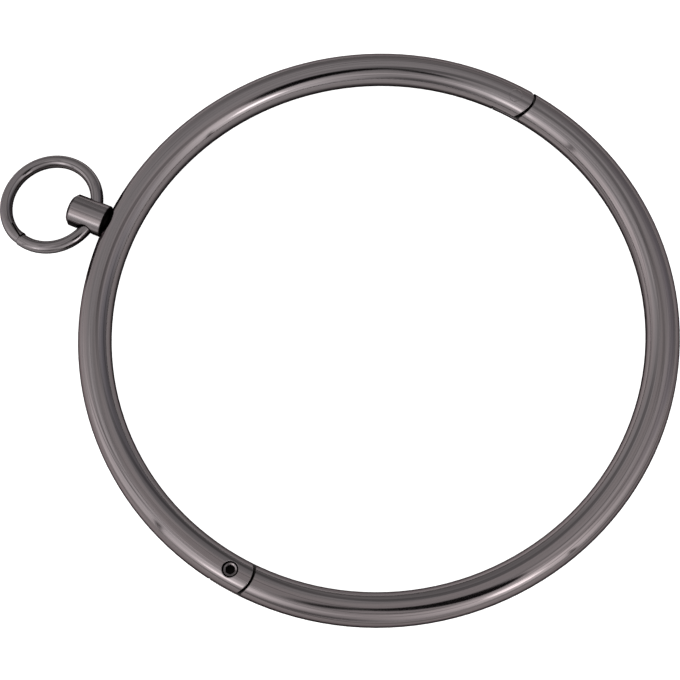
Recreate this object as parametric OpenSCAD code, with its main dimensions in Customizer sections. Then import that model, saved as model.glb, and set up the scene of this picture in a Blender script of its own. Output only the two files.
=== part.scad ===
// Hinged neck ring: two halves of polished round rod, a flush hinge pin, a recessed lock screw,
// and a front post that carries a wire ring. It lies flat, centred on the Z axis, post towards -Y.

/* [Rod] */
// Diameter of the round rod
rod_d = 8; // [7.5:0.5:9]
// Diameter of the circle that the middle of the rod follows
neck_d = 134; // [120:1:150]

/* [Joint places] */
// Plan angle of the hinge pin, counted from +X
hinge_angle = 172.2; // [165:0.1:185]
// Plan angle of the lock screw, counted from +X
lock_angle = 353.15; // [342:0.05:360]
// Plan angle of the post
post_angle = 270; // [262:1:278]

/* [Half laps] */
// Radius of the upper lap's rounded end about the hinge pin
hinge_upper_r = 4.3; // [4.2:0.1:5.6]
// Radius of the lower lap's rounded end about the hinge pin
hinge_lower_r = 5.6; // [4.8:0.1:5.8]
// Radius of both laps' rounded ends about the lock screw
lock_r = 5.2; // [4.8:0.1:5.6]
// Slit between the two halves at the hinge, seen from above
hinge_slit = 0.65; // [0.3:0.05:0.8]
// Slit between the two halves at the lock, seen from above
lock_slit = 0.6; // [0.3:0.05:0.8]
// Slit between the two halves on the underside
under_slit = 0.3; // [0.2:0.05:0.6]
// Height at which the upper and the lower lap meet
lap_z = 4.5; // [3.5:0.1:4.6]
// Gap between the upper and the lower lap
lap_gap = 0.5; // [0.1:0.05:0.5]

/* [Hinge pin] */
// Diameter of the hinge pin
pin_d = 3; // [2.6:0.1:3.2]
// Radial clearance of the pin in the upper lap
pin_seat_gap = 0.02; // [0.01:0.01:0.03]
// Radial clearance of the pin in the lower lap
pin_run_gap = 0.05; // [0.03:0.01:0.08]

/* [Lock screw] */
// Diameter of the screw's body
screw_d = 3.8; // [3:0.1:4]
// Radial clearance of the screw in its hole
screw_gap = 0.05; // [0.03:0.01:0.08]
// How far the screw's top lies below the top of the rod
screw_recess = 0.6; // [0.3:0.1:0.9]
// Height of the screw's body
screw_body_h = 2.9; // [2.6:0.1:3]
// Bevel around the screw's top
screw_bevel = 0.3; // [0.2:0.1:0.5]
// Diameter of the dish in the screw's top
dish_d = 2.9; // [2.6:0.1:3]
// Depth of that dish
dish_h = 0.15; // [0.1:0.05:0.3]
// Diameter of the screw's plain tip
tip_d = 2.5; // [2:0.1:2.6]
// Length of the screw's plain tip
tip_h = 2.3; // [1.6:0.1:2.4]
// Width across the flats of the hex socket
socket_flats = 2; // [1.5:0.5:2]
// Depth of the hex socket
socket_depth = 1.4; // [1:0.1:1.5]
// Side gap between the tip and the groove in the lower lap
groove_gap = 0.35; // [0.3:0.05:0.5]
// Bevel around the mouth of the screw's hole
mouth_bevel = 0.1; // [0.05:0.05:0.2]

/* [Ring post] */
// Diameter of the post
post_d = 8; // [7:0.1:8]
// Length of the post, from the rod to its outer end
post_l = 9.4; // [8.5:0.1:9.5]
// Bevel around the post's outer end
post_bevel = 0.8; // [0.4:0.1:1]
// Bevel around the post's base
base_bevel = 0.2; // [0.1:0.1:0.3]
// Gap between the post's base and the rod
base_gap = 0.05; // [0.02:0.01:0.08]
// Diameter of the hidden stud that holds the post in the rod
stud_d = 4; // [3:0.5:4]
// How deep the stud reaches into the rod
stud_l = 3.2; // [2.5:0.1:3.5]
// Radial clearance of the stud in its hole
stud_gap = 0.03; // [0.02:0.01:0.05]
// Diameter of the cross bore for the wire ring
bore_d = 4.4; // [4.3:0.1:4.5]
// Distance of the cross bore from the rod's outside
bore_off = 4.1; // [3.6:0.1:4.3]

/* [Wire ring] */
// Diameter of the ring's wire
wire_d = 3.1; // [2.8:0.1:3.1]
// Inner diameter of the wire ring
ring_inner_d = 19.8; // [19:0.2:22]
// How far the ring lies slid along the bore
ring_slide = 0.45; // [0:0.05:0.5]
// Angle around the ring from its far side to the butt joint of its wire
butt_angle = 74; // [40:1:100]
// Gap in the butt joint
butt_gap = 0.1; // [0.05:0.05:0.2]
// The joint is this wide on the wire's inner side, as far out as the crack
inner_gap = 0.4; // [0.2:0.1:0.5]
// Length of the slanting crack that runs back from the joint into the wire
crack_l = 4.6; // [3:0.2:6]
// Width of the crack
crack_w = 0.3; // [0.2:0.05:0.4]
// How far inwards of the wire's middle line the crack starts
crack_start_in = 0.95; // [0.8:0.05:1.1]
// How far inwards of the wire's middle line the crack ends, at the joint
crack_end_in = 0.35; // [0.2:0.05:0.5]
// The crack and the wide part of the joint reach this deep below the wire's middle
crack_below = 1; // [0.6:0.1:1.1]
// Length of wire before the joint that is bent tighter, so that its end steps inwards
tail_l = 3; // [2:0.5:4]
// Bending radius of that length
tail_bend_r = 7.4; // [5:0.2:9]

/* [Hidden] */
rod_r = rod_d / 2;
neck_r = neck_d / 2;
mid_z = rod_r;
outer_r = neck_r + rod_r;

// Half a block that is larger than any cut at a rod's end
reach = 9;
// A rod end is first made this many degrees past its pin or screw, then cut to shape
end_over = 7;

upper_low = lap_z + lap_gap / 2;
lower_top = lap_z - lap_gap / 2;

screw_r = screw_d / 2 - screw_gap;
screw_top = rod_d - screw_recess;
screw_low = screw_top - screw_body_h;
tip_low = screw_low - tip_h;
groove_low = tip_low - 0.1;
groove_w = tip_d + 2 * groove_gap;
socket_r = socket_flats / sqrt(3);
// The dish's floor is this much wider than the socket's corners
dish_floor_r = socket_r + 0.05;
dish_slope = dish_d / 2 - dish_floor_r;

base_r = outer_r + base_gap;
bore_r = outer_r + bore_off;

wire_r = wire_d / 2;
ring_r = ring_inner_d / 2 + wire_r;
// The ring's middle lies this far from the bore, so that its curved wire has equal play
// at its innermost point and at the bore's tighter mouth
ring_off = (ring_r + wire_r + sqrt(pow(ring_r - wire_r, 2) - pow(post_d / 2 + ring_slide, 2))) / 2;
// The ring droops from the bore until its far side lies on the resting plane
ring_droop = asin((mid_z - wire_r) / (ring_off + ring_r));
// Plan angles on the ring that the tighter bend and half the joint's gap take up
tail_span = tail_l / ring_r * 180 / PI;
butt_half = butt_gap / 2 / ring_r * 180 / PI;
tail_start = butt_angle - tail_span;
// Both ends of the crack in the ring's plane
crack_from = butt_angle - crack_l / ring_r * 180 / PI;
crack_a = (ring_r - crack_start_in) * [cos(crack_from), sin(crack_from)];
crack_b = (ring_r - crack_end_in) * [cos(butt_angle), sin(butt_angle)];
crack_run = crack_b - crack_a;

$fn = 96;

// Round rod along the neck circle, from plan angle a to plan angle b
module rod(a, b) {
    translate([0, 0, mid_z])
        rotate([0, 0, a])
            rotate_extrude(angle = b - a)
                translate([neck_r, 0])
                    circle(rod_r);
}

// Puts children at plan angle a on the rod's middle line, with their +X along the rod.
// side is 1 where the other half lies counter-clockwise, -1 where it lies clockwise.
module at_joint(a, side) {
    rotate([0, 0, a])
        translate([neck_r, 0, 0])
            rotate([0, 0, side * 90])
                children();
}

// Block from height low to height high on the upper lap's own side of the joint's axis
module behind(low, high) {
    translate([-reach, -reach, low])
        cube([reach, 2 * reach, high - low]);
}

// Block from height low to height high on the other half's side of the joint's axis
module ahead(low, high) {
    translate([0, -reach, low])
        cube([reach, 2 * reach, high - low]);
}

// Upright disc about the joint's axis
module disc(r, low, high) {
    translate([0, 0, low])
        cylinder(r = r, h = high - low);
}

// Leaves a rod's upper part with a round end, over a hollow shoulder for the lower lap
module upper_lap_cut(upper_r, lower_r) {
    difference() {
        ahead(-1, rod_d + 1);
        disc(upper_r, -2, rod_d + 2);
    }
    ahead(-1, upper_low);
    disc(lower_r + under_slit, -1, upper_low);
}

// Leaves a rod's lower part with a round end, under a hollow shoulder for the upper lap
module lower_lap_cut(upper_r, lower_r, slit) {
    difference() {
        behind(-1, rod_d + 1);
        disc(lower_r, -2, rod_d + 2);
    }
    behind(lower_top, rod_d + 1);
    disc(upper_r + slit, lower_top, rod_d + 1);
}

// Hole in the upper lap, with a small bevel at its mouth
module screw_hole() {
    disc(screw_d / 2, 0, rod_d + 1);
    translate([0, 0, rod_d - mouth_bevel])
        cylinder(r1 = screw_d / 2, r2 = screw_d / 2 + 2 * mouth_bevel, h = 2 * mouth_bevel);
}

// Groove that lets the screw's tip lie in the lower lap and slip out of its end
module tip_groove() {
    disc(groove_w / 2, groove_low, rod_d);
    translate([-reach, -groove_w / 2, groove_low])
        cube([reach, groove_w, rod_d]);
}

// Turns a shape that stands on +Z to point outwards at the post's place
module at_post() {
    rotate([0, 0, post_angle])
        translate([0, 0, mid_z])
            rotate([0, 90, 0])
                children();
}

module front_arc() {
    color("dimgray")
        difference() {
            rod(hinge_angle - end_over, lock_angle + end_over);
            at_joint(hinge_angle, -1) {
                upper_lap_cut(hinge_upper_r, hinge_lower_r);
                disc(pin_d / 2 + pin_seat_gap, -1, rod_d + 1);
            }
            at_joint(lock_angle, 1) {
                upper_lap_cut(lock_r, lock_r);
                screw_hole();
            }
            at_post()
                translate([0, 0, outer_r - stud_l - 0.1])
                    cylinder(r = stud_d / 2 + stud_gap, h = reach);
        }
}

module rear_arc() {
    color("dimgray")
        difference() {
            rod(lock_angle - end_over, hinge_angle + 360 + end_over);
            at_joint(hinge_angle, -1) {
                lower_lap_cut(hinge_upper_r, hinge_lower_r, hinge_slit);
                disc(pin_d / 2 + pin_run_gap, -1, rod_d + 1);
            }
            at_joint(lock_angle, 1) {
                lower_lap_cut(lock_r, lock_r, lock_slit);
                tip_groove();
            }
        }
}

// The pin's ends are dressed down to the rod's surface
module hinge_pin() {
    color("gray")
        intersection() {
            rod(hinge_angle - end_over, hinge_angle + end_over);
            at_joint(hinge_angle, -1)
                disc(pin_d / 2, -1, rod_d + 1);
        }
}

module lock_screw() {
    color("darkgray")
        at_joint(lock_angle, 1)
            difference() {
                union() {
                    disc(screw_r, screw_low, screw_top - screw_bevel);
                    translate([0, 0, screw_top - screw_bevel])
                        cylinder(r1 = screw_r, r2 = screw_r - screw_bevel, h = screw_bevel);
                    disc(tip_d / 2, tip_low, screw_low + 0.1);
                }
                translate([0, 0, screw_top - socket_depth])
                    cylinder(r = socket_r, h = reach, $fn = 6);
                translate([0, 0, screw_top - dish_h])
                    cylinder(r1 = dish_floor_r, r2 = dish_floor_r + 2 * dish_slope, h = 2 * dish_h);
            }
}

module ring_post() {
    color("dimgray")
        difference() {
            at_post() {
                translate([0, 0, base_r])
                    cylinder(r1 = post_d / 2 - base_bevel, r2 = post_d / 2, h = base_bevel);
                translate([0, 0, base_r + base_bevel])
                    cylinder(r = post_d / 2, h = post_l - base_gap - base_bevel - post_bevel);
                translate([0, 0, outer_r + post_l - post_bevel])
                    cylinder(r1 = post_d / 2, r2 = post_d / 2 - post_bevel, h = post_bevel);
                translate([0, 0, outer_r - stud_l])
                    cylinder(r = stud_d / 2, h = stud_l + 1);
            }
            rotate([0, 0, post_angle])
                translate([bore_r, 0, mid_z])
                    rotate([90, 0, 0])
                        cylinder(r = bore_d / 2, h = 2 * reach, center = true);
        }
}

// Wire bent to radius r about the Z axis, from +X through a plan angle
module wire(r, angle) {
    rotate_extrude(angle = angle)
        translate([r, 0])
            circle(wire_r);
}

// The ring flat on its middle plane, its far side towards +X. Both bends of its wire start
// at one place: the long one runs clockwise round to the joint, the tighter one runs to it directly.
module flat_ring() {
    rotate([0, 0, tail_start]) {
        wire(ring_r, butt_half + tail_span - 360);
        difference() {
            translate([ring_r - tail_bend_r, 0, 0])
                wire(tail_bend_r, 90);
            rotate([0, 0, tail_span - butt_half])
                translate([-reach, 0, -reach])
                    cube([3 * reach, reach, 2 * reach]);
        }
    }
}

// The crack in the wire's upper side and the wide inner part of the joint that it meets
module end_crack() {
    translate([crack_a.x, crack_a.y, -crack_below])
        rotate([0, 0, atan2(crack_run.y, crack_run.x)])
            translate([0, -crack_w / 2, 0])
                cube([norm(crack_run), crack_w, reach]);
    rotate([0, 0, butt_angle])
        translate([ring_r - reach, -butt_gap / 2, -crack_below])
            cube([reach - crack_end_in + crack_w / 2, inner_gap, reach]);
}

module o_ring() {
    color("dimgray")
        rotate([0, 0, post_angle])
            translate([bore_r, 0, mid_z])
                rotate([0, ring_droop, 0])
                    translate([ring_off, ring_slide, 0])
                        difference() {
                            flat_ring();
                            end_crack();
                        }
}

front_arc();
rear_arc();
hinge_pin();
lock_screw();
ring_post();
o_ring();
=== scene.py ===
"""Looks for the hinged neck ring: polished gunmetal steel on a pale studio floor."""
import math

import bpy
from mathutils import Matrix, Vector

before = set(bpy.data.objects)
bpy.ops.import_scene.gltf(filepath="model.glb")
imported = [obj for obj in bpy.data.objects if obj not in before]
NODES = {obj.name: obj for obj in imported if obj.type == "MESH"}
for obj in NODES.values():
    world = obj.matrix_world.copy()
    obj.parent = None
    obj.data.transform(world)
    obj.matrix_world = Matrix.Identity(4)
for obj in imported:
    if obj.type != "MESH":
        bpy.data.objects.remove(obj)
SCENE = bpy.context.scene


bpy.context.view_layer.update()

# Main sizes of the part, in metres
ROD_R = 0.004
NECK_R = 0.067
MID_Z = ROD_R
WIRE_R = 0.00155
RING_R = 0.01145
RING_SLIDE = 0.00045
BORE_AT_Y = -0.0751
POST_R = 0.004
POST_END_Y = -0.0804
# The post's end is polished up to this far behind its face, over the rounded edge
POST_EDGE = 0.0009
SCREW_TOP = 0.0074
SCREW_R = 0.00185
SCREW_PLAN = math.radians(353.15)
SCREW_AT = (NECK_R * math.cos(SCREW_PLAN), NECK_R * math.sin(SCREW_PLAN))
# The screw's polished dish: its depth, and the radii between which it is bright
DISH_H = 0.00015
DISH_IN = 0.00116
DISH_OUT = 0.00145
# Plan angle of the side where the dish gets a painted highlight
SHEEN_TOWARDS = 158
# Distance between the fine turned rings on the screw's side
RINGS_APART = 0.0005
# The crack in the wire ring, from its inner end to the joint, about the ring's middle and in its plane
CRACK_FROM = Vector((0.00816, -0.00661, 0))
CRACK_TO = Vector((0.01067, -0.00306, 0))
CRACK_HALF = 0.00022
# How far the wire's end is bent inwards, at most
WIRE_END_BEND = 0.00022
# The wire ring hangs from the post's bore and droops until its far side lies on the floor
RING_OFF = (RING_R + WIRE_R + math.sqrt((RING_R - WIRE_R) ** 2 - (POST_R + RING_SLIDE) ** 2)) / 2
RING_DROOP = math.asin((MID_Z - WIRE_R) / (RING_OFF + RING_R))
RING_MIDDLE = (
    RING_SLIDE,
    BORE_AT_Y - RING_OFF * math.cos(RING_DROOP),
    MID_Z - RING_OFF * math.sin(RING_DROOP),
)


# Camera
CAMERA_AT = Vector((0.11913, 0.061, 0.4106))
LOOKS_AT = Vector((0.00623, -0.0068, MID_Z))
PICTURE_UP = Vector((-0.9205, -0.3907, 0.0))
LENS_MM = 95.9
SENSOR_MM = 36
SEES_FROM = 0.01
SEES_TO = 20


def make_camera():
    """A camera above the ring, turned so that the post points to the picture's left."""
    data = bpy.data.cameras.new("camera")
    data.sensor_fit = "HORIZONTAL"
    data.sensor_width = SENSOR_MM
    data.lens = LENS_MM
    data.clip_start = SEES_FROM
    data.clip_end = SEES_TO
    camera = bpy.data.objects.new("camera", data)
    back = (CAMERA_AT - LOOKS_AT).normalized()
    right = PICTURE_UP.cross(back).normalized()
    up = back.cross(right)
    turn = Matrix((right, up, back)).transposed()
    camera.matrix_world = Matrix.Translation(CAMERA_AT) @ turn.to_4x4()
    SCENE.collection.objects.link(camera)
    SCENE.camera = camera


# Node helpers
class Tree:
    """Adds nodes to a node tree and links them in one call."""

    def __init__(self, tree):
        tree.nodes.clear()
        self.tree = tree

    def add(self, kind, inputs=None, **settings):
        """Adds a node. An input's value is a plain value or another node's output socket."""
        node = self.tree.nodes.new(kind)
        for name, value in settings.items():
            setattr(node, name, value)
        for key, value in (inputs or {}).items():
            socket = node.inputs[key]
            if isinstance(value, bpy.types.NodeSocket):
                self.tree.links.new(value, socket)
            else:
                socket.default_value = value
        return node

    def math(self, operation, *values):
        """One step of arithmetic on numbers."""
        return self.add("ShaderNodeMath", dict(enumerate(values)), operation=operation).outputs[0]

    def product(self, value, *others):
        """Multiplies two or more numbers."""
        for other in others:
            value = self.math("MULTIPLY", value, other)
        return value

    def length(self, x, y):
        """Length of a vector in a plane."""
        return self.math("SQRT", self.math("ADD", self.product(x, x), self.product(y, y)))

    def off_by(self, value, target):
        """How far a number is from a target, to either side."""
        return self.math("ABSOLUTE", self.math("SUBTRACT", value, target))

    def vector(self, x, y, z):
        """Joins three numbers to a vector."""
        return self.add("ShaderNodeCombineXYZ", {"X": x, "Y": y, "Z": z}).outputs[0]

    def axes(self, vector, names="XYZ"):
        """A vector's parts along the named axes."""
        parts = self.add("ShaderNodeSeparateXYZ", {0: vector}).outputs
        return [parts[name] for name in names]

    def dot(self, a, b):
        """Dot product of two vectors."""
        return self.add("ShaderNodeVectorMath", {0: a, 1: b}, operation="DOT_PRODUCT").outputs["Value"]

    def minus(self, a, b):
        """Difference of two vectors."""
        return self.add("ShaderNodeVectorMath", {0: a, 1: b}, operation="SUBTRACT").outputs[0]

    def scaled(self, vector, factor):
        """A vector or colour times a number."""
        inputs = {0: vector, "Scale": factor}
        return self.add("ShaderNodeVectorMath", inputs, operation="SCALE").outputs[0]

    def ramp(self, value, low, high, to_low=0.0, to_high=1.0):
        """Maps a value smoothly from low..high to to_low..to_high, held at both ends."""
        inputs = {"Value": value, "From Min": low, "From Max": high, "To Min": to_low, "To Max": to_high}
        return self.add("ShaderNodeMapRange", inputs, interpolation_type="SMOOTHSTEP").outputs["Result"]

    def stretch(self, noise, reach, to_low=0.0, to_high=1.0):
        """Maps the middle of a noise's range, a half plus and minus reach, to to_low..to_high."""
        return self.ramp(noise, 0.5 - reach, 0.5 + reach, to_low, to_high)

    def mix(self, share, a, b):
        """Mixes two numbers."""
        inputs = {"Factor": share, "A": a, "B": b}
        return self.add("ShaderNodeMix", inputs, data_type="FLOAT").outputs["Result"]

    def mix_colour(self, share, a, b):
        """Mixes two colours."""
        return self.add("ShaderNodeMix", {0: share, 6: a, 7: b}, data_type="RGBA").outputs[2]

    def mix_shader(self, share, a, b):
        """Mixes the shaders of two nodes."""
        return self.add("ShaderNodeMixShader", {0: share, 1: a.outputs[0], 2: b.outputs[0]})

    def finish(self, kind, shader):
        """Adds the output node and links a shader's node to it."""
        self.add(kind, {"Surface": shader.outputs[0]})


def new_material(name):
    """An empty node material and its tree."""
    material = bpy.data.materials.new(name)
    material.use_nodes = True
    return material, Tree(material.node_tree)


def add_card(name, half):
    """A flat square card about its own middle. half is half its side."""
    mesh = bpy.data.meshes.new(name)
    corners = [(-half, -half, 0), (half, -half, 0), (half, half, 0), (-half, half, 0)]
    mesh.from_pydata(corners, [], [(0, 1, 2, 3)])
    card = bpy.data.objects.new(name, mesh)
    SCENE.collection.objects.link(card)
    return card


# Studio light: the tent's brightness below and above the ring, how far the change reaches, and its tints
TENT_LOW = 0.6
TENT_HIGH = 0.62
TENT_CHANGE = 0.3
COOL_LIGHT = (0.975, 0.99, 1.06, 1)
WARM_LIGHT = (1.0, 1.0, 0.985, 1)
BACKDROP = (1, 1, 1, 1)
# Each place in the tent is a plan angle and a height above the floor, in degrees.
# Middle and half sizes of the patch that is lit cool
COOL_PLACE = (140, 25)
COOL_SIZE = (50, 45)
# Broad tones of the tent's walls: place, half sizes, softness and change in brightness
TENT_TONES = [
    ((178, 10), (90, 48), 0.45, -0.4),
    ((128, 12), (26, 38), 0.9, -0.32),
    ((160, 14), (30, 30), 0.9, -0.22),
    ((104, 12), (24, 24), 0.8, 0.22),
    ((60, 20), (50, 48), 1.0, 1.6),
    ((-55, 20), (50, 42), 0.9, 0.95),
    ((-17, 34), (30, 28), 1.0, 1.2),
    ((15, 38), (18, 12), 1.0, 0.4),
    ((8, 6), (24, 18), 0.9, -0.5),
    ((110, 64), (28, 16), 1.0, 0.2),
    ((0, 90), (15, 15), 1.0, -0.16),
    ((165, 42), (80, 14), 0.8, -0.12),
    ((72, 36), (14, 22), 0.9, 0.3),
    ((-15, 36), (16, 22), 0.9, 0.26),
    ((-30, 52), (20, 10), 0.8, 0.25),
    ((225, 25), (24, 34), 0.9, -0.22),
    ((293, 46), (20, 9), 0.9, -0.3),
    ((302, 61), (24, 12.5), 0.12, 0.45),
    ((105, 70), (24, 9), 1.0, 0.2),
    ((66, 48), (20, 8), 0.8, 0.35),
    ((180, 36), (20, 8), 1.0, 0.2),
    ((302, 2), (18, 14), 1.0, 0.35),
    ((195, 2), (24, 8), 0.9, -0.3),
    ((60, 24), (14, 10), 1.0, 0.12),
    ((4, 8), (22, 16), 0.8, -0.3),
    ((62, 50), (14, 7), 1.0, 0.2),
]
# Thin seams of the tent's top: the middle and radius of each round, half width and change
TENT_SEAMS = [
    ((120, 80), 36, 1.8, -0.5),
    ((30, 78), 30, 1.6, -0.4),
]
# Lamps behind the tent's cloth: place, half sizes, softness and power
LAMPS = [
    ((57, 25), (9.5, 10), 0.5, 2.6),
    ((-20, 29), (8, 9), 0.7, 1.3),
]
# Lamp poles: place, half sizes and turn
POLES = [
    ((72.5, 4), (1.6, 24), 0),
    ((-39, 24), (1.6, 28), 8),
]
POLE_SOFT = 0.6
POLE_CHANGE = -0.85
# Dark oval cards over the set, such as a camera's body: name, middle, half sizes, turn, softness and darkness
FLAGS = [
    ("camera_flag", (0.203, 0.23, 0.6), (0.29, 0.115), 63.5, 0.3, 0.98),
    ("arm_flag", (0.237, -0.002, 0.65), (0.21, 0.08), 176.5, 0.8, 0.95),
]


def direction(plan_angle, height_angle):
    """Unit vector at a plan angle from +X and an angle above the floor, both in degrees."""
    plan = math.radians(plan_angle)
    height = math.radians(height_angle)
    flat = math.cos(height)
    return Vector((flat * math.cos(plan), flat * math.sin(plan), math.sin(height)))


def patch(t, ray, place, size, soft, turn=0.0):
    """A soft elliptical patch of the tent: 1 in its middle, 0 outside. All angles are in degrees."""
    middle = direction(*place)
    roll = Matrix.Rotation(math.radians(turn), 3, middle)
    side = roll @ Vector((0, 0, 1)).cross(middle).normalized()
    over = middle.cross(side)
    across = t.math("DIVIDE", t.dot(ray, side), math.sin(math.radians(size[0])))
    along = t.math("DIVIDE", t.dot(ray, over), math.sin(math.radians(size[1])))
    shape = t.ramp(t.length(across, along), 1 - soft, 1, 1, 0)
    # The same ellipse on the far side of the tent is left out
    facing = t.ramp(t.dot(ray, middle), 0.0, 0.1)
    return t.product(shape, facing)


def seam(t, ray, place, radius, half_width):
    """A thin ring round a direction, such as a sewn edge of the tent's top. Angles in degrees."""
    turned = t.math("ARCCOSINE", t.dot(ray, direction(*place)))
    off = t.off_by(turned, math.radians(radius))
    return t.ramp(off, 0.0, math.radians(half_width), 1, 0)


def toned(t, light, shape, change):
    """Makes light brighter or darker by a share of itself where shape is 1."""
    return t.product(light, t.math("MULTIPLY_ADD", shape, change, 1.0))


def make_world():
    """A light tent round the ring, with two lamps. The camera itself sees a plain pale backdrop."""
    world = bpy.data.worlds.new("tent")
    world.use_nodes = True
    SCENE.world = world
    t = Tree(world.node_tree)
    ray = t.add("ShaderNodeTexCoord").outputs["Generated"]
    (height,) = t.axes(ray, "Z")
    light = t.ramp(height, -TENT_CHANGE, TENT_CHANGE, TENT_LOW, TENT_HIGH)
    for place, size, soft, change in TENT_TONES:
        light = toned(t, light, patch(t, ray, place, size, soft), change)
    for place, radius, half_width, change in TENT_SEAMS:
        light = toned(t, light, seam(t, ray, place, radius, half_width), change)
    for place, size, soft, power in LAMPS:
        light = t.math("MULTIPLY_ADD", patch(t, ray, place, size, soft), power, light)
    for place, size, turn in POLES:
        light = toned(t, light, patch(t, ray, place, size, POLE_SOFT, turn), POLE_CHANGE)
    tint = t.mix_colour(patch(t, ray, COOL_PLACE, COOL_SIZE, 1.0), WARM_LIGHT, COOL_LIGHT)
    tent = t.add("ShaderNodeBackground", {"Color": tint, "Strength": light})
    pale = t.add("ShaderNodeBackground", {"Color": BACKDROP, "Strength": 1.0})
    seen = t.add("ShaderNodeLightPath").outputs["Is Camera Ray"]
    t.finish("ShaderNodeOutputWorld", t.mix_shader(seen, tent, pale))


def make_flag(name, middle, size, turn, soft, depth):
    """A dark oval card that only the polished steel mirrors. turn is in degrees."""
    flag = add_card(name, 1)
    flag.location = middle
    flag.scale = (size[0], size[1], 1)
    flag.rotation_euler.z = math.radians(turn)
    flag.visible_camera = False
    flag.visible_diffuse = False
    flag.visible_shadow = False
    material, t = new_material(name)
    x, y = t.axes(t.add("ShaderNodeTexCoord").outputs["Object"], "XY")
    shape = t.ramp(t.length(x, y), 1 - soft, 1, depth, 0)
    clear = t.add("ShaderNodeBsdfTransparent")
    black = t.add("ShaderNodeEmission", {"Color": (0, 0, 0, 1)})
    t.finish("ShaderNodeOutputMaterial", t.mix_shader(shape, clear, black))
    flag.data.materials.append(material)


# Floor: half its side, its paint, and the glow that keeps it white in the picture
FLOOR_HALF = 3.0
FLOOR_PAINT = (0.9, 0.9, 0.9, 1)
FLOOR_GLOW = 0.9
# Tone and tint of the floor that the steel mirrors
FLOOR_TONE = 0.97
FLOOR_TINT = (1.0, 0.995, 0.985)
# That floor has a painted shadow beside the rod and the wire: up to where it is dark, fading out to where,
# and how dark.
# Both distances are from the middle line, in metres
ROD_SHADE = (0.0045, 0.012, 0.12)
WIRE_SHADE = (0.002, 0.007, 0.06)
# Painted light and shade: towards this plan angle it is brighter outside the neck ring and darker inside,
# and on the far side the other way round
LIT_SIDE = 300
LIT_CHANGE = 0.13
# Painted shade: past the lock, towards this plan angle, it is darker
LOCK_SIDE = 5
LOCK_TONE = 0.8
LOCK_FADE = 0.01


def beside(t, x, y, middle, radius, near, far, tone):
    """Painted shadow on the floor beside a ring that lies on it: dark within near of its middle line, 1
    beyond far.
    """
    from_middle = t.length(t.math("SUBTRACT", x, middle[0]), t.math("SUBTRACT", y, middle[1]))
    return t.ramp(t.off_by(from_middle, radius), near, far, tone, 1.0)


def make_floor():
    """A pale floor; the floor that the metal mirrors has painted shadow beside the rod and the wire, and
    painted light and shade by side.
    """
    floor = add_card("floor", FLOOR_HALF)
    material, t = new_material("pale_floor")
    seen = t.add("ShaderNodeLightPath").outputs["Is Camera Ray"]
    matt = t.add("ShaderNodeBsdfDiffuse", {"Color": FLOOR_PAINT})
    glow = t.add("ShaderNodeEmission", {"Color": (1, 1, 1, 1), "Strength": FLOOR_GLOW})
    lit = t.add("ShaderNodeAddShader", {0: matt.outputs[0], 1: glow.outputs[0]})
    place = t.add("ShaderNodeNewGeometry").outputs["Position"]
    x, y = t.axes(place, "XY")
    from_axis = t.length(x, y)
    outwards = t.ramp(t.math("SUBTRACT", from_axis, NECK_R), -ROD_R, ROD_R, -LIT_CHANGE, LIT_CHANGE)
    sideways = t.math("DIVIDE", t.dot(place, direction(LIT_SIDE, 0)), from_axis)
    tone = t.product(
        beside(t, x, y, (0, 0), NECK_R, *ROD_SHADE),
        beside(t, x, y, RING_MIDDLE, RING_R, *WIRE_SHADE),
        t.math("MULTIPLY_ADD", outwards, sideways, FLOOR_TONE),
        t.ramp(t.dot(place, direction(LOCK_SIDE, 0)), NECK_R, NECK_R + LOCK_FADE, 1.0, LOCK_TONE),
    )
    mirrored = t.add("ShaderNodeBsdfDiffuse", {"Color": t.scaled(FLOOR_TINT, tone)})
    t.finish("ShaderNodeOutputMaterial", t.mix_shader(seen, mirrored, lit))
    floor.data.materials.append(material)


# Materials
STEEL = (0.292, 0.252, 0.26, 1)
STEEL_COOL = (0.275, 0.247, 0.257, 1)
# Painted shade: near-black colour for surfaces inside joints, slots and holes
PAINTED_JOINT_SHADE = (0.012, 0.01, 0.01, 1)
JOINT_BARE = (0.13, 0.12, 0.12, 1)
EDGE_TINT = (0.3, 0.265, 0.275, 1)
# Roughness from the smoothest to the dullest streak, on the rod and on the post, and inside joints and holes
POLISH = (0.06, 0.13)
POST_POLISH = (0.17, 0.25)
JOINT_ROUGH = 0.6
# Surfaces this far below the polished outside belong to a joint, hole or slot
SKIN = 0.00006
# Fine streaks and broad bands: sizes across and along the rod, in metres, and detail of the noise
FINE_STREAKS = (0.00045, 0.045, 3)
BANDS = (0.0022, 0.12, 0)
# Brightness of the darkest and the brightest fine streak
FINE_SHADE = (0.89, 1.09)
# Height of the bands' relief, the fine streaks' share of it, and how wide edges are rounded in the shading
RELIEF_H = 0.000006
FINE_RELIEF = 0.25
EDGE_R = 0.0003
# Polishing lines: noise cells round the rod, how many cells they wander and over what length,
# their width as a change in the noise, how dark they are, the areas in which they are strong or weak,
# sized like the streaks, and how strong they are in either
LINES_ROUND = 14.0
LINE_WANDER = 3.5
WANDER_LENGTH = 0.11
LINE_WIDTH = 0.065
LINE_SHADE = 0.5
LINE_AREAS = (0.004, 0.06, 1)
LINE_STRENGTH = (0.35, 1.0)
# Machined steel inside the neck ring's laps: how far up a level face's normal points, how deep under the
# polished outside a wall starts and ends to be bare, and how bare it gets
LEVEL_FACE = (0.9, 0.98)
BARE_DEPTH = (0.0005, 0.0016)
BARE_WALL = 0.6
# Painted shade on the wire ring's inner side: where it is full and where it ends, in shares of the wire's
# radius, how far along the ring it fades, and its strength away from the post and near it
INNER_SHADE_EDGE = (-0.95, -0.55)
INNER_SHADE_FADE = (-0.008, 0.004)
INNER_SHADE = (0.8, 0.3)
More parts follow.
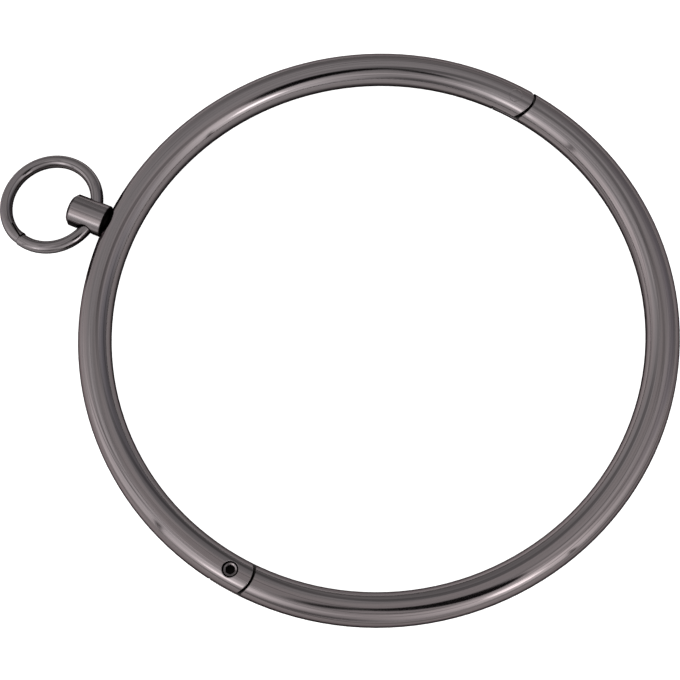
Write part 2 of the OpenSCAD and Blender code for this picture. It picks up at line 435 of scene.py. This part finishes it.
# Painted shade: the wire's sides are darker than its top by this share, from this share of its radius
# outwards
SIDE_SHADE = 0.35
SIDE_SHADE_FROM = 0.8
# Painted black shade in the wire's crack
CRACK_SHADE = 0.97
# The whole post is a little darker than the rod
POST_SHADE = 0.95
# Painted highlight on one side of the screw's dish: how far from its middle it starts and is full, and the
# shades of the painted shade before it and of the highlight
SHEEN_EDGE = (0.0006, 0.0012)
SHEEN_SHADES = (0.5, 1.1)
# Turned rings on the screw's side: how crisp they are, and the shades of their grooves and ridges
TURNED_EDGE = 0.6
TURNED_SHADE = (0.35, 1.0)


def bent_rod(t, at, bend_r, rod_r):
    """For a rod bent about the Z axis: its skin depth and its lengthwise streak coordinates."""
    x, y, z = t.axes(at)
    a = t.math("SUBTRACT", t.length(x, y), bend_r)
    depth = t.math("SUBTRACT", rod_r, t.length(a, z))
    return depth, a, z, x, y


def streaks(t, a, b, c, d, across, along, detail):
    """Noise drawn out along the rod. across and along are its sizes in metres."""
    fine = 1 / across
    slow = 1 / along
    place = t.vector(t.product(a, fine), t.product(b, fine), t.product(c, slow))
    inputs = {"Vector": place, "W": t.product(d, slow), "Scale": 1.0, "Detail": detail, "Roughness": 0.5}
    return t.add("ShaderNodeTexNoise", inputs, noise_dimensions="4D").outputs["Fac"]


def polish_lines(t, a, b, c, d):
    """Crisp dark lines that run along the rod and wander a little over its top: 1 on a line."""
    wander = streaks(t, 0.0, 0.0, c, d, 1.0, WANDER_LENGTH, 0)
    round_rod = t.product(t.math("ARCTAN2", a, b), LINES_ROUND / math.tau)
    inputs = {"W": t.math("MULTIPLY_ADD", wander, LINE_WANDER, round_rod), "Scale": 1.0, "Detail": 0.0}
    noise = t.add("ShaderNodeTexNoise", inputs, noise_dimensions="1D").outputs[0]
    line = t.ramp(t.off_by(noise, 0.5), 0.0, LINE_WIDTH, 1, 0)
    strength = t.stretch(streaks(t, a, b, c, d, *LINE_AREAS), 0.12, *LINE_STRENGTH)
    return t.product(line, strength)


def make_steel(name, shape, smooth, dull):
    """Polished gunmetal steel with fine lengthwise polishing lines, with painted near-black shade and dull
    inside joints and holes.

    shape takes the tree and the position and gives how far a point lies under the polished skin,
    two coordinates across the rod, two along it, a brightness share with the skin's tone, painted shade and
    highlight, and how bare the steel under it is.
    """
    material, t = new_material(name)
    at = t.add("ShaderNodeTexCoord").outputs["Object"]
    depth, a, b, c, d, tone_and_painted_light, bare = shape(t, at)
    inside = t.ramp(depth, SKIN, 1.5 * SKIN)
    fine = streaks(t, a, b, c, d, *FINE_STREAKS)
    bands = streaks(t, a, b, c, d, *BANDS)
    lines = polish_lines(t, a, b, c, d)
    shade = t.product(t.stretch(fine, 0.2, *FINE_SHADE), t.ramp(lines, 0.0, 1.0, 1.0, LINE_SHADE), tone_and_painted_light)
    tint = t.scaled(t.mix_colour(t.stretch(bands, 0.15), STEEL, STEEL_COOL), shade)
    # Painted shade: inside joints, slots and holes the colour is near black where the steel is not bare
    colour = t.mix_colour(inside, tint, t.mix_colour(bare, PAINTED_JOINT_SHADE, JOINT_BARE))
    roughness = t.mix(inside, t.stretch(fine, 0.3, smooth, dull), JOINT_ROUGH)
    edge = t.add("ShaderNodeBevel", {"Radius": EDGE_R}, samples=4)
    relief = t.math("MULTIPLY_ADD", fine, FINE_RELIEF, bands)
    inputs = {"Strength": 1.0, "Distance": RELIEF_H, "Height": relief, "Normal": edge.outputs[0]}
    bump = t.add("ShaderNodeBump", inputs)
    shader = t.add(
        "ShaderNodeBsdfPrincipled",
        {
            "Base Color": colour,
            "Metallic": 1.0,
            "Roughness": roughness,
            "Specular Tint": EDGE_TINT,
            "Normal": bump.outputs[0],
        },
    )
    t.finish("ShaderNodeOutputMaterial", shader)
    return material


def neck_rod(t, at):
    """The neck ring's rod and the flush pin in it."""
    depth, a, z, x, y = bent_rod(t, t.minus(at, (0, 0, MID_Z)), NECK_R, ROD_R)
    # The laps' level faces and the deeper part of their end walls are machined steel,
    # which shows when the hinge is open; the shallower walls keep the painted near-black shade
    (facing_up,) = t.axes(t.add("ShaderNodeNewGeometry").outputs["True Normal"], "Z")
    level = t.ramp(t.math("ABSOLUTE", facing_up), *LEVEL_FACE)
    bare = t.math("MAXIMUM", level, t.ramp(depth, *BARE_DEPTH, 0.0, BARE_WALL))
    return depth, a, z, x, y, 1.0, bare


def wire_ring(t, at):
    """The wire ring, with painted shade along its inner side and sides and painted black shade in its crack.
    """
    inputs = {"Vector": at, "Center": RING_MIDDLE, "Angle": -RING_DROOP}
    level = t.add("ShaderNodeVectorRotate", inputs, rotation_type="X_AXIS").outputs[0]
    flat = t.minus(level, RING_MIDDLE)
    depth, a, z, x, y = bent_rod(t, flat, RING_R, WIRE_R)
    # The bent-in end is polished like the rest; the inside of its crack and joint is not, and gets the
    # painted near-black shade
    depth = t.math("SUBTRACT", depth, WIRE_END_BEND)
    # Painted shade along the wire's inner side, most of it away from the post
    full, end = INNER_SHADE_EDGE
    inwards = t.ramp(a, full * WIRE_R, end * WIRE_R, 1, 0)
    inner_shade = t.product(inwards, t.ramp(y, *INNER_SHADE_FADE, *INNER_SHADE))
    # Painted shade: both sides of the wire are a little darker than its top
    sides = t.ramp(t.math("ABSOLUTE", a), SIDE_SHADE_FROM * WIRE_R, WIRE_R, 0.0, SIDE_SHADE)
    # The crack slants back from the joint
    run = CRACK_TO - CRACK_FROM
    along = run.normalized()
    beside_run = Vector((-along.y, along.x, 0))
    past = t.math("SUBTRACT", t.dot(flat, along), CRACK_FROM.dot(along))
    off = t.off_by(t.dot(flat, beside_run), CRACK_FROM.dot(beside_run))
    # Painted black shade along the crack
    line = t.product(
        t.ramp(off, 0.6 * CRACK_HALF, 1.2 * CRACK_HALF, CRACK_SHADE, 0),
        t.ramp(past, -CRACK_HALF, CRACK_HALF),
        t.ramp(past, run.length, run.length + CRACK_HALF, 1, 0),
    )
    tone_and_painted_light = t.math("SUBTRACT", 1.0, t.math("MAXIMUM", line, t.math("MAXIMUM", inner_shade, sides)))
    return depth, a, z, x, y, tone_and_painted_light, 0.0


def post(t, at):
    """The short post at the front."""
    x, y, z = t.axes(at)
    z = t.math("SUBTRACT", z, MID_Z)
    under = t.math("SUBTRACT", POST_R, t.length(x, z))
    # The outer end face is polished as well; the base and the bore are not, and get the painted near-black
    # shade
    body = t.ramp(y, POST_END_Y + POST_EDGE, POST_END_Y + POST_EDGE + 0.0001)
    return t.product(under, body), x, z, y, 0.0, POST_SHADE, 0.0


def screw(t, at):
    """The recessed screw."""
    x, y, z = t.axes(at)
    below = t.math("SUBTRACT", SCREW_TOP - DISH_H, z)
    dx = t.math("SUBTRACT", x, SCREW_AT[0])
    dy = t.math("SUBTRACT", y, SCREW_AT[1])
    # The dish in its top is polished; the socket and the bevel get the painted near-black shade, and the
    # sides are not polished
    from_middle = t.length(dx, dy)
    off_dish = t.off_by(from_middle, (DISH_OUT + DISH_IN) / 2)
    depth = t.math("MAXIMUM", below, t.math("SUBTRACT", off_dish, (DISH_OUT - DISH_IN) / 2))
    # Painted highlight on one side of the screw and painted shade on the other
    towards_sheen = t.dot(t.vector(dx, dy, 0.0), direction(SHEEN_TOWARDS, 0))
    painted_sheen = t.ramp(towards_sheen, *SHEEN_EDGE, *SHEEN_SHADES)
    # Its side is bare steel with fine turned rings
    wave = t.math("SINE", t.product(z, math.tau / RINGS_APART))
    outer = t.ramp(from_middle, SCREW_R - 0.0001, SCREW_R - 0.00004)
    bare = t.product(outer, t.ramp(wave, -TURNED_EDGE, TURNED_EDGE, *TURNED_SHADE))
    return depth, x, y, z, 0.0, painted_sheen, bare


def set_material(name, material):
    """Gives every slot of a piece the same material."""
    for slot in NODES[name].material_slots:
        slot.material = material


make_camera()
make_world()
make_floor()
for card in FLAGS:
    make_flag(*card)
ROD_STEEL = make_steel("polished_rod_steel", neck_rod, *POLISH)
for piece in ("front_arc", "rear_arc", "hinge_pin"):
    set_material(piece, ROD_STEEL)
set_material("o_ring", make_steel("polished_wire_steel", wire_ring, *POLISH))
set_material("ring_post", make_steel("polished_post_steel", post, *POST_POLISH))
set_material("lock_screw", make_steel("turned_screw_steel", screw, *POLISH))

SCENE.view_settings.view_transform = "Standard"
SCENE.view_settings.look = "None"
